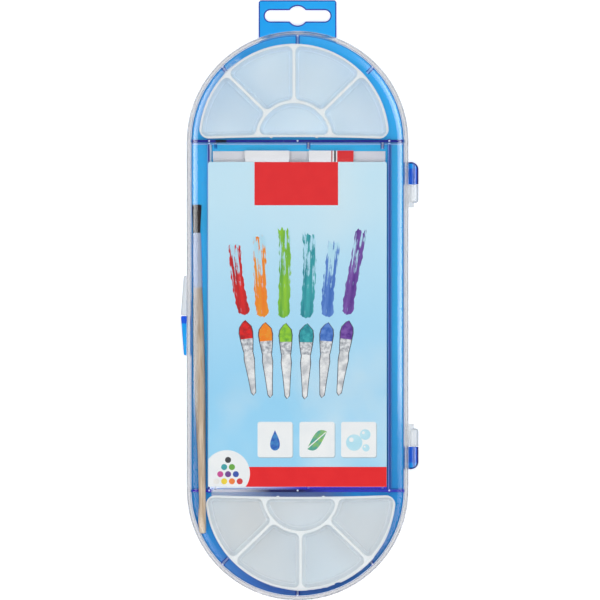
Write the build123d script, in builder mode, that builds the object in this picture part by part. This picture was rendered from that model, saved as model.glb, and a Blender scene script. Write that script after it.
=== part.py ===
from build123d import *
from math import cos, pi, radians, sin, sqrt, tan
import os

# Tempera paint set in a hinged plastic case: a blue tray with a hang tab, a clear domed lid,
# ten metal paint tubes in two rows under a printed card, two half-round mixing palettes and a brush.
# Millimetres. Z = 0 is the surface the tray stands on, X = 0 and Y = 0 its middle,
# +Y points to the hang tab and +X to the hinges.

# Blue tray: a stadium with a half circle at each end
arc_offset = 91.5
tray_wall = 1.1
tray_floor = 1.6
tray_height = 14.0
foot_radius = 1.6

# Walls that divide the tray: two across it, just past the centres of its round ends, and two
# along it, which leave a channel for the brush at the left and a narrower one at the right
upper_wall_past = 0.5
lower_wall_past = 0.8
cross_wall = 1.4
left_channel = 8.3
right_channel = 6.6
channel_wall = 1.2
post_radius = 1.1

# Stiffening ribs: gussets in the round ends, short ribs on the cross walls
rib_thick = 1.2
gusset_reach = 2.6
gusset_height = 10.4
first_gusset_angle = 45
gusset_count = 3
stub_rib_reach = 3.0
stub_rib_height = 9.0
left_stub_rib_inset = 3.3
middle_stub_rib_x = 5.7
right_stub_rib_inset = 3.4

# Clear lid, which laps over the tray's rim
lid_gap = 0.9
lid_wall = 1.6
lid_top = 1.6
case_height = 22.0
lid_lap = 3.5
shoulder_radius = 6.0

# Small nubs that centre the lid on the tray, and the snap beads
nub_width = 1.4
nub_depth = 0.6
bead_length = 16.0
bead_depth = 0.35
bead_height = 0.9
tray_bead_rise = 2.1
lid_bead_rise = 0.7

# Hang tab and its slot
tab_width = 41.0
tab_reach = 18.9
tab_thick = 2.0
tab_drop = 0.4
tab_corner = 1.5
hang_slot_inset = 8.2
hang_slot_width = 34.6
hang_slot_height = 6.0
hang_hole_radius = 5.15

# Finger tabs at the front, side by side: the upper one on the lid, the lower one on the tray
finger_reach = 3.1
finger_end_reach = 1.5
finger_length = 20.8
finger_thick = 1.6
finger_gap = 0.4
finger_corner = 0.8

# Two hinges
knuckle_radius = 2.45
knuckle_length = 11.8
knuckle_gap = 0.3
knuckle_corner = 4.0
lid_knuckle_length = 9.4
lid_knuckle_round = 1.6
knuckle_clearance = 0.35
hinge_meet_y = 69.0
hinge_rise = 0.6
arm_inset = 0.25
pin_radius = 1.2
pin_clearance = 0.05
pin_length = 7.5
pin_end_clearance = 0.5

# Paint tubes in two rows of five, noses to the middle, their flat tails high and low by turns
tube_radius = 7.5
tube_gap = 1.9
tubes_per_row = 5
row_left_room = 6.1
row_right_room = 6.2
tail_end_gap = 4.4
crimp_length = 4.0
crimp_thick = 1.5
tail_thick = 1.0
tail_rise = 5.6
tail_drop = 6.2
tube_shoulder = 3.2
shoulder_angle = 50
neck_radius = 3.0
neck_length = 8.0
nozzle_radius = 1.6
nozzle_depth = 6.0
lie_gap = 0.1

# Screw caps
cap_radius = 4.7
cap_length = 12.5
cap_seat_gap = 0.3
cap_clearance = 0.06
cap_grip_count = 12
cap_grip_radius = 0.55
cap_grip_out = 0.14
cap_chamfer = 0.6
cap_end_y = 1.6

# Printed card that lies on the tubes
card_left_past = 0.5
card_right_gap = 1.4
card_top_gap = 11.1
card_bottom_gap = 2.1
card_thick = 0.4
card_corner = 1.0

# Two equal palettes, each with five wells
palette_gap = 4.7
palette_height = 11.7
palette_draft = 9
palette_corner = 5.0
palette_bow = 1.0
palette_rim = 1.2
palette_floor = 1.4
palette_nub_reach = 0.5
palette_nub_radius = 1.0
palette_nub_x = 12.0
palette_nub_length = 3.0
divider = 1.4
inner_well_radius = 19.0
side_divider_angle = 44
well_corner = 3.0
well_bottom_radius = 1.2
upper_palette_x = -1.9
upper_palette_shift = 1.6
lower_palette_x = 1.6
lower_palette_shift = 3.0

# Brush, its tip low in the channel and its handle's end up over the rim
brush_tip_gap = 2.2
brush_tip_y = 58.8
brush_tip_lift = 2.4
brush_end_aside = 3.3
brush_end_past = 22.2
brush_rim_gap = 0.5
handle_radius = 2.45
handle_front_radius = 1.7
handle_end_radius = 1.75
handle_end_round = 0.6
handle_swell_share = 0.69
handle_front_slope = 1.5
tenon_length = 10.0
fit_clearance = 0.02
ferrule_length = 29.0
ferrule_wall = 0.3
ferrule_back_radius = 1.75
ferrule_mouth_radius = 1.35
groove_depth = 0.15
groove_width = 1.4
groove_places = (4.6, 8.4)
notch_clearance = 0.3

# Bristles
bristle_length = 15.2
bristle_flare = 2.1
bristle_dome = 0.6
bristle_uneven = 0.5
bristle_lengths = 5
bristle_root = 1.0
bristle_margin = 0.06
strand_count = 300
strand_radius = 0.036
strand_tip_radius = 0.02
strand_sides = 3
golden_angle = 137.508

# The tray is as wide as the row of tubes, the room beside it and the two channels
tube_pitch = 2 * tube_radius + tube_gap
row_half = (tubes_per_row - 1) / 2 * tube_pitch + tube_radius
tube_bay = row_left_room + 2 * row_half + row_right_room
tray_inner_radius = (left_channel + tube_bay + right_channel) / 2
tray_radius = tray_inner_radius + tray_wall
left_wall_x = left_channel - tray_inner_radius
right_wall_x = tray_inner_radius - right_channel
row_middle_x = left_wall_x + row_left_room + row_half

# Places, radii and heights that follow from the sizes above
upper_wall_y = arc_offset + upper_wall_past
lower_wall_y = -arc_offset - lower_wall_past
stub_rib_xs = (left_wall_x + left_stub_rib_inset, middle_stub_rib_x, right_wall_x - right_stub_rib_inset)
tab_end_y = arc_offset + tray_radius + tab_reach
hang_slot_y = tab_end_y - hang_slot_inset
tail_end_y = upper_wall_y - cross_wall / 2 - tail_end_gap
card_left_x = left_wall_x - card_left_past
card_right_x = right_wall_x - card_right_gap
card_top_y = upper_wall_y - card_top_gap
card_bottom_y = lower_wall_y + card_bottom_gap
palette_radius = tray_inner_radius - palette_gap
brush_tip_x = brush_tip_gap - tray_inner_radius
brush_end_x = left_wall_x - brush_end_aside
brush_end_y = lower_wall_y - brush_end_past
tray_mid_radius = tray_radius - tray_wall / 2
lid_inner_radius = tray_radius + lid_gap
lid_radius = lid_inner_radius + lid_wall
lid_mid_radius = lid_inner_radius + lid_wall / 2
skirt_z = tray_height - lid_lap
tab_top_z = skirt_z - tab_drop
hinge_x = lid_radius + knuckle_clearance + knuckle_radius
hinge_z = skirt_z + hinge_rise
tube_z = tray_floor + lie_gap + tube_radius
card_z = tube_z + tube_radius + lie_gap
wall_middle_y = (upper_wall_y + lower_wall_y) / 2
gusset_spread = 2 * (90 - first_gusset_angle)


def stadium(radius, mode=Mode.ADD):
    """The case's outline at one radius: two half circles joined by straight sides."""
    SlotOverall(2 * (arc_offset + radius), 2 * radius, rotation=90, mode=mode)


def upright(y):
    """The plane across the case at y, with X to the right, Z up and its normal to -Y."""
    return Plane(origin=(0, y, 0), x_dir=(1, 0, 0), z_dir=(0, -1, 0))


def knuckle_plane(side, start):
    """A plane through the hinge axis, its X along the axis away from the middle, its Y up."""
    return Plane(origin=(hinge_x, side * start, hinge_z), x_dir=(0, side, 0), z_dir=(side, 0, 0))


# The brush's own plane: its origin at the handle's end, its Z towards the bristles
brush_tip = Vector(brush_tip_x, brush_tip_y, tray_floor + brush_tip_lift)
brush_end = Vector(brush_end_x, brush_end_y, tray_height + brush_rim_gap + handle_end_radius)
brush_length = (brush_tip - brush_end).length
handle_length = brush_length - bristle_length - ferrule_length
handle_swell = handle_length * handle_swell_share
brush_plane = Plane(origin=brush_end, x_dir=(1, 0, 0), z_dir=brush_tip - brush_end)
brush_side_z = brush_plane.x_dir.cross(brush_plane.z_dir)
brush_side = Plane(origin=brush_end, x_dir=brush_plane.x_dir, z_dir=brush_side_z)
brush_axis = Axis(brush_end, brush_plane.z_dir)

# Where the handle crosses the lower cross wall
notch_share = (lower_wall_y - brush_end_y) / (brush_tip_y - brush_end_y)
notch_point = brush_end + (brush_tip - brush_end) * notch_share
notch_swell = min(1, brush_length * notch_share / handle_swell)
notch_radius = handle_end_radius + (handle_radius - handle_end_radius) * notch_swell + notch_clearance

# Blue tray: tub, inner walls, ribs, nubs, hang tab, finger tab and the outer hinge knuckles
with BuildPart() as base_tray:
    with BuildSketch():
        stadium(tray_radius)
    extrude(amount=tray_height)
    fillet(base_tray.edges().group_by(Axis.Z)[0], foot_radius)
    with BuildSketch(Plane.XY.offset(tray_floor)):
        stadium(tray_inner_radius)
    extrude(amount=tray_height, mode=Mode.SUBTRACT)

    # Cross walls, channel walls and the posts where they meet
    with BuildSketch(Plane.XY.offset(tray_floor)):
        with Locations((0, upper_wall_y), (0, lower_wall_y)):
            Rectangle(2 * tray_mid_radius, cross_wall)
        with Locations((left_wall_x, wall_middle_y), (right_wall_x, wall_middle_y)):
            Rectangle(channel_wall, upper_wall_y - lower_wall_y)
        for wall_x in (left_wall_x, right_wall_x):
            with Locations((wall_x, upper_wall_y), (wall_x, lower_wall_y)):
                Circle(post_radius)
    extrude(amount=tray_height - tray_floor)

    # Short ribs that brace both cross walls inside the tube compartment
    for wall_y, side in ((upper_wall_y, -1), (lower_wall_y, 1)):
        for rib_x in stub_rib_xs:
            rib_plane = Plane(origin=(rib_x, wall_y, tray_floor), x_dir=(0, side, 0), z_dir=(side, 0, 0))
            with BuildSketch(rib_plane):
                with BuildLine():
                    Polyline(
                        (0, 0),
                        (cross_wall / 2 + stub_rib_reach, 0),
                        (cross_wall / 2, stub_rib_height),
                        (0, stub_rib_height),
                        close=True,
                    )
                make_face()
            extrude(amount=rib_thick / 2, both=True)

    # Gussets in the round ends
    for end in (1, -1):
        for step in range(gusset_count):
            angle = radians(first_gusset_angle + step * gusset_spread / (gusset_count - 1))
            outward = Vector(cos(angle), end * sin(angle), 0)
            sideways = Vector(outward.Y, -outward.X, 0)
            with BuildSketch(Plane(origin=(0, end * arc_offset, tray_floor), x_dir=outward, z_dir=sideways)):
                with BuildLine():
                    Polyline(
                        (tray_inner_radius - gusset_reach, 0),
                        (tray_mid_radius, 0),
                        (tray_mid_radius, gusset_height),
                        (tray_inner_radius, gusset_height),
                        close=True,
                    )
                make_face()
            extrude(amount=rib_thick / 2, both=True)

    # Nubs round the rim that centre the lid
    with BuildSketch(Plane.XY.offset(skirt_z)):
        with Locations((0, upper_wall_y), (0, lower_wall_y)):
            Rectangle(2 * (tray_radius + nub_depth), nub_width)
        for end in (1, -1):
            with Locations((0, end * arc_offset)):
                with PolarLocations(
                    tray_radius, gusset_count, end * first_gusset_angle, end * gusset_spread, endpoint=True
                ):
                    Rectangle(2 * nub_depth, nub_width)
        stadium(tray_mid_radius, mode=Mode.SUBTRACT)
    extrude(amount=lid_lap)

    # Snap bead under the rim, at the side away from the hinges
    with BuildSketch(upright(bead_length / 2)):
        with BuildLine():
            Polyline(
                (-tray_mid_radius, skirt_z + tray_bead_rise - bead_height / 2),
                (-tray_radius, skirt_z + tray_bead_rise - bead_height / 2),
                (-tray_radius - bead_depth, skirt_z + tray_bead_rise),
                (-tray_radius, skirt_z + tray_bead_rise + bead_height / 2),
                (-tray_mid_radius, skirt_z + tray_bead_rise + bead_height / 2),
                close=True,
            )
        make_face()
    extrude(amount=bead_length)

    # Hang tab with its slot
    with BuildSketch(Plane.XY.offset(tab_top_z)) as hang_tab:
        with Locations((0, (arc_offset + tab_end_y) / 2)):
            Rectangle(tab_width, tab_end_y - arc_offset)
        fillet(hang_tab.vertices().group_by(Axis.Y)[-1], tab_corner)
        stadium(tray_mid_radius, mode=Mode.SUBTRACT)
        with Locations((0, hang_slot_y)):
            SlotOverall(hang_slot_width, hang_slot_height, mode=Mode.SUBTRACT)
            Circle(hang_hole_radius, mode=Mode.SUBTRACT)
    extrude(amount=-tab_thick)

    # Finger tab
    with BuildSketch(Plane.XY.offset(tab_top_z)) as tray_finger:
        with BuildLine():
            Polyline(
                (-tray_mid_radius, -finger_gap / 2),
                (-lid_radius - finger_reach, -finger_gap / 2),
                (-lid_radius - finger_end_reach, -finger_gap / 2 - finger_length),
                (-tray_mid_radius, -finger_gap / 2 - finger_length),
                close=True,
            )
        make_face()
        fillet(tray_finger.vertices().group_by(Axis.X)[0], finger_corner)
        fillet(tray_finger.vertices().group_by(Axis.Y)[0].sort_by(Axis.X)[0], finger_corner)
    extrude(amount=-tab_thick)

    # Outer hinge knuckles with a blind bore and a round corner, each on an arm under the lid's skirt
    for side in (1, -1):
        start = hinge_meet_y + knuckle_gap / 2
        with BuildSketch(upright(side * start)):
            with Locations(((tray_mid_radius + hinge_x) / 2, tab_top_z)):
                Rectangle(
                    hinge_x - tray_mid_radius,
                    tab_top_z - hinge_z + knuckle_radius - arm_inset,
                    align=(Align.CENTER, Align.MAX),
                )
            with Locations((hinge_x, hinge_z)):
                Circle(knuckle_radius)
        extrude(amount=-side * knuckle_length)
        corner_x = hinge_x + knuckle_radius - knuckle_corner
        corner_y = side * (start + knuckle_length - knuckle_corner)
        with BuildSketch(Plane.XY.offset(hinge_z - knuckle_radius)):
            with Locations((corner_x, corner_y)):
                Rectangle(knuckle_corner, knuckle_corner, align=(Align.MIN, Align.MIN if side > 0 else Align.MAX))
                Circle(knuckle_corner, mode=Mode.SUBTRACT)
        extrude(amount=2 * knuckle_radius, mode=Mode.SUBTRACT)
        with BuildSketch(upright(side * start)):
            with Locations((hinge_x, hinge_z)):
                Circle(pin_radius + pin_clearance)
        extrude(amount=-side * (pin_length + pin_end_clearance - knuckle_gap), mode=Mode.SUBTRACT)

    # Notch in which the brush handle lies
    with BuildSketch(upright(lower_wall_y + cross_wall)):
        with Locations((notch_point.X, notch_point.Z)):
            Circle(notch_radius)
            Rectangle(2 * notch_radius, tray_height, align=(Align.CENTER, Align.MIN))
    extrude(amount=2 * cross_wall, mode=Mode.SUBTRACT)
base_tray.part.label = "base_tray"

# The space inside the lid, with its rounded shoulder
with BuildPart() as lid_cavity:
    with BuildSketch(Plane.XY.offset(skirt_z)):
        stadium(lid_inner_radius)
    extrude(amount=case_height - lid_top - skirt_z)
    fillet(lid_cavity.edges().group_by(Axis.Z)[-1], shoulder_radius - lid_wall)

# Clear lid: a shallow dome with a skirt, its finger tab, snap bead, inner knuckles and hinge pins
with BuildPart() as lid:
    with BuildSketch(Plane.XY.offset(skirt_z)):
        stadium(lid_radius)
    extrude(amount=case_height - skirt_z)
    fillet(lid.edges().group_by(Axis.Z)[-1], shoulder_radius)
    add(lid_cavity.part, mode=Mode.SUBTRACT)

    # Finger tab
    with BuildSketch(Plane.XY.offset(skirt_z)) as lid_finger:
        with BuildLine():
            Polyline(
                (-lid_mid_radius, finger_gap / 2),
                (-lid_radius - finger_reach, finger_gap / 2),
                (-lid_radius - finger_end_reach, finger_gap / 2 + finger_length),
                (-lid_mid_radius, finger_gap / 2 + finger_length),
                close=True,
            )
        make_face()
        fillet(lid_finger.vertices().group_by(Axis.X)[0], finger_corner)
        fillet(lid_finger.vertices().group_by(Axis.Y)[-1].sort_by(Axis.X)[0], finger_corner)
    extrude(amount=finger_thick)

    # Snap bead inside the skirt, just under the tray's bead
    with BuildSketch(upright(bead_length / 2)):
        with BuildLine():
            Polyline(
                (-lid_mid_radius, skirt_z + lid_bead_rise - bead_height / 2),
                (-lid_inner_radius, skirt_z + lid_bead_rise - bead_height / 2),
                (-lid_inner_radius + bead_depth, skirt_z + lid_bead_rise),
                (-lid_inner_radius, skirt_z + lid_bead_rise + bead_height / 2),
                (-lid_mid_radius, skirt_z + lid_bead_rise + bead_height / 2),
                close=True,
            )
        make_face()
    extrude(amount=bead_length)

    # Inner hinge knuckles with the pins that snap into the tray's knuckles
    for side in (1, -1):
        start = hinge_meet_y - knuckle_gap / 2
        with BuildSketch(upright(side * start)):
            with Locations((lid_mid_radius, skirt_z)):
                Rectangle(
                    hinge_x - lid_mid_radius,
                    hinge_rise + knuckle_radius - arm_inset,
                    align=(Align.MIN, Align.MIN),
                )
        extrude(amount=side * knuckle_length)
        with BuildSketch(knuckle_plane(side, start)) as barrel:
            Rectangle(lid_knuckle_length, knuckle_radius, align=(Align.MAX, Align.MIN))
            rounded_end = barrel.vertices().sort_by_distance((-lid_knuckle_length, knuckle_radius))[0]
            fillet(rounded_end, lid_knuckle_round)
        revolve(axis=Axis((hinge_x, 0, hinge_z), (0, 1, 0)))
        with BuildSketch(upright(side * start)):
            with Locations((hinge_x, hinge_z)):
                Circle(pin_radius)
        extrude(amount=-side * pin_length)
lid.part.label = "lid"


# A palette's outline: a half circle whose straight side bows in a little
with BuildSketch() as half_disc:
    with BuildLine():
        CenterArc((0, 0), palette_radius, 0, 180)
        ThreePointArc((-palette_radius, 0), (0, palette_bow), (palette_radius, 0))
    make_face()

# Its top edge and its smaller foot
foot_inset = palette_height * tan(radians(palette_draft))
with BuildSketch() as palette_top:
    add(half_disc.sketch)
    fillet(palette_top.vertices(), palette_corner)
with BuildSketch() as palette_foot:
    add(half_disc.sketch)
    offset(amount=-foot_inset, kind=Kind.INTERSECTION)
    fillet(palette_foot.vertices(), palette_corner - foot_inset)

# Its five wells: the outline drawn in by the rim, then split by a round divider and three straight ones
with BuildSketch() as divider_plan:
    Circle(inner_well_radius + divider)
    Circle(inner_well_radius, mode=Mode.SUBTRACT)
    for angle in (side_divider_angle, 90, 180 - side_divider_angle):
        with PolarLocations(inner_well_radius + divider / 2, 1, angle):
            Rectangle(palette_radius, divider, align=(Align.MIN, Align.CENTER))
with BuildSketch() as well_plan:
    add(half_disc.sketch)
    offset(amount=-palette_rim, kind=Kind.INTERSECTION)
    add(divider_plan.sketch, mode=Mode.SUBTRACT)
    fillet(well_plan.vertices(), well_corner)


def make_palette(label, place):
    """One palette standing on a plane, its round side towards the plane's +Y."""
    rim_plane = place.offset(palette_height)
    with BuildPart() as well_space:
        with BuildSketch(rim_plane):
            add(well_plan.sketch)
        extrude(amount=palette_floor - palette_height, taper=palette_draft)
        fillet(well_space.edges().group_by(Axis.Z)[0], well_bottom_radius)

    with BuildPart() as palette:
        with BuildSketch(place):
            add(palette_foot.sketch)
        with BuildSketch(rim_plane):
            add(palette_top.sketch)
        loft(ruled=True)

        # Two nubs on the straight side that keep it off the cross wall
        with BuildSketch(rim_plane):
            with Locations(
                (-palette_nub_x, palette_bow + palette_nub_radius - palette_nub_reach),
                (palette_nub_x, palette_bow + palette_nub_radius - palette_nub_reach),
            ):
                Circle(palette_nub_radius)
        extrude(amount=-palette_nub_length)
        add(well_space.part, mode=Mode.SUBTRACT)
    palette.part.label = label
    return palette.part


palette_z = tray_floor + lie_gap
upper_seat = Vector(upper_palette_x, arc_offset + upper_palette_shift, palette_z)
lower_seat = Vector(lower_palette_x, -arc_offset - lower_palette_shift, palette_z)
palette_upper = make_palette("palette_upper", Plane(origin=upper_seat, x_dir=(1, 0, 0), z_dir=(0, 0, 1)))
palette_lower = make_palette("palette_lower", Plane(origin=lower_seat, x_dir=(-1, 0, 0), z_dir=(0, 0, 1)))

# Printed card
with BuildPart() as insert_card:
    with BuildSketch(Plane.XY.offset(card_z)):
        with Locations(((card_left_x + card_right_x) / 2, (card_top_y + card_bottom_y) / 2)):
            RectangleRounded(card_right_x - card_left_x, card_top_y - card_bottom_y, card_corner)
    extrude(amount=card_thick)
insert_card.part.label = "insert_card"

# Where each tube's parts meet along its row, measured from the middle of the case
shoulder_top_y = cap_end_y + cap_length + cap_seat_gap
shoulder_y = shoulder_top_y + tube_shoulder
belly_length = tail_end_y - crimp_length - shoulder_y


def make_tube(label, nose, tail_lift):
    """One paint tube: nose is the plane across its shoulder, with its Z towards the cap."""
    tail = nose.offset(-belly_length)
    with BuildPart() as tube:
        with BuildSketch(nose):
            Circle(tube_radius)
        with BuildSketch(tail):
            with Locations((0, tail_lift)):
                Ellipse(pi * tube_radius / 2, tail_thick / 2)
        loft(ruled=True)
        with BuildSketch(tail):
            with Locations((0, tail_lift)):
                Rectangle(pi * tube_radius, crimp_thick)
        extrude(amount=-crimp_length)
        with BuildSketch(nose):
            Circle(tube_radius)
        extrude(amount=tube_shoulder, taper=shoulder_angle)
        with BuildSketch(nose.offset(tube_shoulder)):
            Circle(neck_radius)
        extrude(amount=neck_length)
        with BuildSketch(nose.offset(tube_shoulder + neck_length)):
            Circle(nozzle_radius)
        extrude(amount=-nozzle_depth, mode=Mode.SUBTRACT)
    tube.part.label = label
    return tube.part


def make_cap(label, nose):
    """The screw cap of one tube, over its neck, with ribs to grip."""
    seat = nose.offset(tube_shoulder + cap_seat_gap)
    with BuildPart() as cap:
        with BuildSketch(seat):
            Circle(cap_radius)
        extrude(amount=cap_length)
        chamfer(cap.edges().sort_by_distance(nose.origin)[-1], cap_chamfer)
        with BuildSketch(seat):
            with PolarLocations(cap_radius + cap_grip_out, cap_grip_count):
                RegularPolygon(cap_grip_radius, 3, rotation=180)
        extrude(amount=cap_length, mode=Mode.SUBTRACT)
        with BuildSketch(seat):
            Circle(neck_radius + cap_clearance)
        extrude(amount=neck_length, mode=Mode.SUBTRACT)
    cap.part.label = label
    return cap.part


# Tubes and caps: the upper row first, each row from the left
tubes = []
caps = []
for end in (1, -1):
    for place in range(tubes_per_row):
        number = len(tubes) + 1
        x = row_middle_x + (place - (tubes_per_row - 1) / 2) * tube_pitch
        nose = Plane(origin=(x, end * shoulder_y, tube_z), x_dir=(end, 0, 0), z_dir=(0, -end, 0))
        lift = tail_rise if place % 2 else -tail_drop
        tubes.append(make_tube(f"tube_{number:02d}", nose, lift))
        caps.append(make_cap(f"cap_{number:02d}", nose))

# Brush handle: turned wood with a tenon for the ferrule
tenon_radius = ferrule_back_radius - ferrule_wall - fit_clearance
handle_end_flat = handle_end_radius - handle_end_round
with BuildPart() as brush_handle:
    with BuildSketch(brush_side):
        with BuildLine():
            Polyline((0, handle_end_round), (0, 0), (handle_end_flat, 0))
            RadiusArc((handle_end_flat, 0), (handle_end_radius, handle_end_round), -handle_end_round)
            Spline(
                (handle_end_radius, handle_end_round),
                (handle_radius, handle_swell),
                (handle_front_radius, handle_length),
                tangents=((0, 1), (-tan(radians(handle_front_slope)), 1)),
            )
            Polyline(
                (handle_front_radius, handle_length),
                (tenon_radius, handle_length),
                (tenon_radius, handle_length + tenon_length),
                (0, handle_length + tenon_length),
                (0, handle_end_round),
            )
        make_face()
    revolve(axis=brush_axis)
brush_handle.part.label = "brush_handle"

# Ferrule: a drawn tube with two crimp grooves
mouth_z = handle_length + ferrule_length
with BuildPart() as brush_ferrule:
    with BuildSketch(brush_side):
        with BuildLine():
            Polyline(
                (ferrule_back_radius - ferrule_wall, handle_length),
                (ferrule_back_radius, handle_length),
                (ferrule_back_radius, handle_length + tenon_length),
                (ferrule_mouth_radius, mouth_z),
                (ferrule_mouth_radius - ferrule_wall, mouth_z),
                (ferrule_back_radius - ferrule_wall, handle_length + tenon_length),
                close=True,
            )
        make_face()
        for groove in groove_places:
            with Locations((ferrule_back_radius, handle_length + groove)):
                Ellipse(groove_depth, groove_width / 2, mode=Mode.SUBTRACT)
    revolve(axis=brush_axis)
brush_ferrule.part.label = "brush_ferrule"

# Bristles: strands laid out as in a sunflower head, spreading upwards from the ferrule's mouth at Z = 0
tuft_radius = ferrule_mouth_radius - ferrule_wall - fit_clearance
strands = []
for index in range(strand_count):
    reach = sqrt((index + 0.5) / strand_count)
    angle = radians(index * golden_angle)
    root_x = reach * (tuft_radius - bristle_margin) * cos(angle)
    root_y = reach * (tuft_radius - bristle_margin) * sin(angle)
    shortfall = bristle_uneven * (index % bristle_lengths) / (bristle_lengths - 1)
    length = bristle_length - bristle_dome * reach**2 - shortfall
    spread = 1 + (bristle_flare - 1) * length / bristle_length
    root = Pos(root_x, root_y, -bristle_root / 2) * RegularPolygon(strand_radius, strand_sides)
    tip = Pos(root_x * spread, root_y * spread, length) * RegularPolygon(strand_tip_radius, strand_sides)
    strands.append(loft([root, tip], ruled=True, mode=Mode.PRIVATE))
with BuildPart() as tuft:
    with BuildSketch():
        Circle(tuft_radius)
    extrude(amount=-bristle_root)
    add(strands)
brush_bristles = tuft.part.moved(brush_plane.offset(mouth_z).location)
brush_bristles.label = "brush_bristles"

os.makedirs("parts", exist_ok=True)
pieces = [base_tray.part, lid.part, palette_upper, palette_lower, insert_card.part]
pieces += tubes + caps
pieces += [brush_handle.part, brush_ferrule.part, brush_bristles]
for piece in pieces:
    export_step(piece, f"parts/{piece.label}.step")
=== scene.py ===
from math import cos, pi, radians, sin
import random

import bpy
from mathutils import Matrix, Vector


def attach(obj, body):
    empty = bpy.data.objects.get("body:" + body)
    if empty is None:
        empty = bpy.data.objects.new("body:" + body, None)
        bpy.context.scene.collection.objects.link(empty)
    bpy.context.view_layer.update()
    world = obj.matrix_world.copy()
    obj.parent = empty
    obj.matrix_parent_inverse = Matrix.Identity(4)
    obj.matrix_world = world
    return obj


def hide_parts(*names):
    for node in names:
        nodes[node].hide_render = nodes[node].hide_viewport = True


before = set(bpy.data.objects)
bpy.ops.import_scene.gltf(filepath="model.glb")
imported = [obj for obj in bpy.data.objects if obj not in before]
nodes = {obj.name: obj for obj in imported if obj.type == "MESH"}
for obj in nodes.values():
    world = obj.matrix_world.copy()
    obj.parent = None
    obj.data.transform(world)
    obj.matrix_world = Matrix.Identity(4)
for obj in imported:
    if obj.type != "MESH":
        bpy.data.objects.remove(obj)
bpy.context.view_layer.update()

# Studio: a white table seen from straight above with a long lens, under a wide overhead panel
# and a softbox on each side. Gloss mirrors a room that is pale low down and dim overhead, with
# bright white cloth round the camera, on the left and on the right.
MM = 0.001
view_middle = (1.27 * MM, 8.23 * MM)
view_size = 316.62 * MM
view_height = 10 * MM
camera_distance = 3.0

camera_data = bpy.data.cameras.new("camera")
camera_data.sensor_width = 36
camera_data.lens = camera_data.sensor_width * camera_distance / view_size
camera_data.clip_end = 50
camera = bpy.data.objects.new("camera", camera_data)
camera.location = (view_middle[0], view_middle[1], view_height + camera_distance)
bpy.context.collection.objects.link(camera)
bpy.context.scene.camera = camera
bpy.context.scene.view_settings.view_transform = "Standard"


def add_node(tree, kind, inputs=None, **settings):
    """One shader node, its inputs given as numbers or as the sockets that feed them."""
    made = tree.nodes.new(kind)
    for key, value in settings.items():
        setattr(made, key, value)
    for key, value in (inputs or {}).items():
        if isinstance(value, bpy.types.NodeSocket):
            tree.links.new(value, made.inputs[key])
        else:
            made.inputs[key].default_value = value
    return made


def add_maths(tree, operation, first, second=0.0, third=0.0):
    """The outcome of one sum on numbers or sockets."""
    made = add_node(
        tree, "ShaderNodeMath", {0: first, 1: second, 2: third}, operation=operation
    )
    return made.outputs[0]


def combine(tree, operation, first, *others):
    """The outcome of one kind of sum on several numbers or sockets, taken in turn."""
    for other in others:
        first = add_maths(tree, operation, first, other)
    return first


def times(tree, *values):
    """The product of numbers or sockets."""
    return combine(tree, "MULTIPLY", *values)


def step_up(tree, value, low, high, start=0.0, end=1.0):
    """The start value up to low, the end value from high on, and an even slope between."""
    settings = {"Value": value, "From Min": low, "From Max": high, "To Min": start, "To Max": end}
    return add_node(tree, "ShaderNodeMapRange", settings).outputs[0]


def seen_rays(tree):
    """1 for the camera's rays and for what gloss and clear plastic show, else 0."""
    path = add_node(tree, "ShaderNodeLightPath")
    kinds = ("Is Camera Ray", "Is Transmission Ray", "Is Glossy Ray")
    return combine(tree, "MAXIMUM", *(path.outputs[kind] for kind in kinds))


world = bpy.data.worlds.new("room")
bpy.context.scene.world = world
world.use_nodes = True
tree = world.node_tree
tree.nodes.clear()
room_path = add_node(tree, "ShaderNodeLightPath")
room_way = add_node(tree, "ShaderNodeTexCoord")
room_parts = add_node(tree, "ShaderNodeSeparateXYZ", {0: room_way.outputs["Generated"]})
room_height = room_parts.outputs["Z"]
sideways = add_maths(tree, "ABSOLUTE", room_parts.outputs["X"])
height_squared = times(tree, room_height, room_height)
level_part = add_maths(tree, "SQRT", add_maths(tree, "SUBTRACT", 1.0, height_squared))
to_side = add_maths(tree, "DIVIDE", sideways, level_part)
cloth_middle, cloth_side = 1.3, 13.5
low_wall, ceiling = 0.9, 0.12
matt_light = 0.26
last_bounce = 3.5
cloth_ring = times(
    tree,
    add_maths(tree, "MULTIPLY_ADD", sideways, cloth_side, cloth_middle),
    step_up(tree, to_side, 0.5, 0.85, 0.04),
    step_up(tree, room_height, 0.995, 0.985),
    step_up(tree, room_height, 0.66, 0.76),
    add_maths(tree, "LESS_THAN", room_path.outputs["Ray Depth"], last_bounce),
)
mirrored_room = add_maths(
    tree, "MAXIMUM", cloth_ring, step_up(tree, room_height, 0.0, 0.7, low_wall, ceiling)
)
room_level = add_node(
    tree, "ShaderNodeMix",
    {"Factor": room_path.outputs["Is Glossy Ray"], 2: matt_light, 3: mirrored_room},
).outputs[0]
room_level = add_maths(tree, "MAXIMUM", room_level, room_path.outputs["Is Camera Ray"])
room_light = add_node(
    tree, "ShaderNodeBackground", {"Color": (1, 1, 1, 1), "Strength": room_level}
)
add_node(tree, "ShaderNodeOutputWorld", {"Surface": room_light.outputs[0]})

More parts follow.
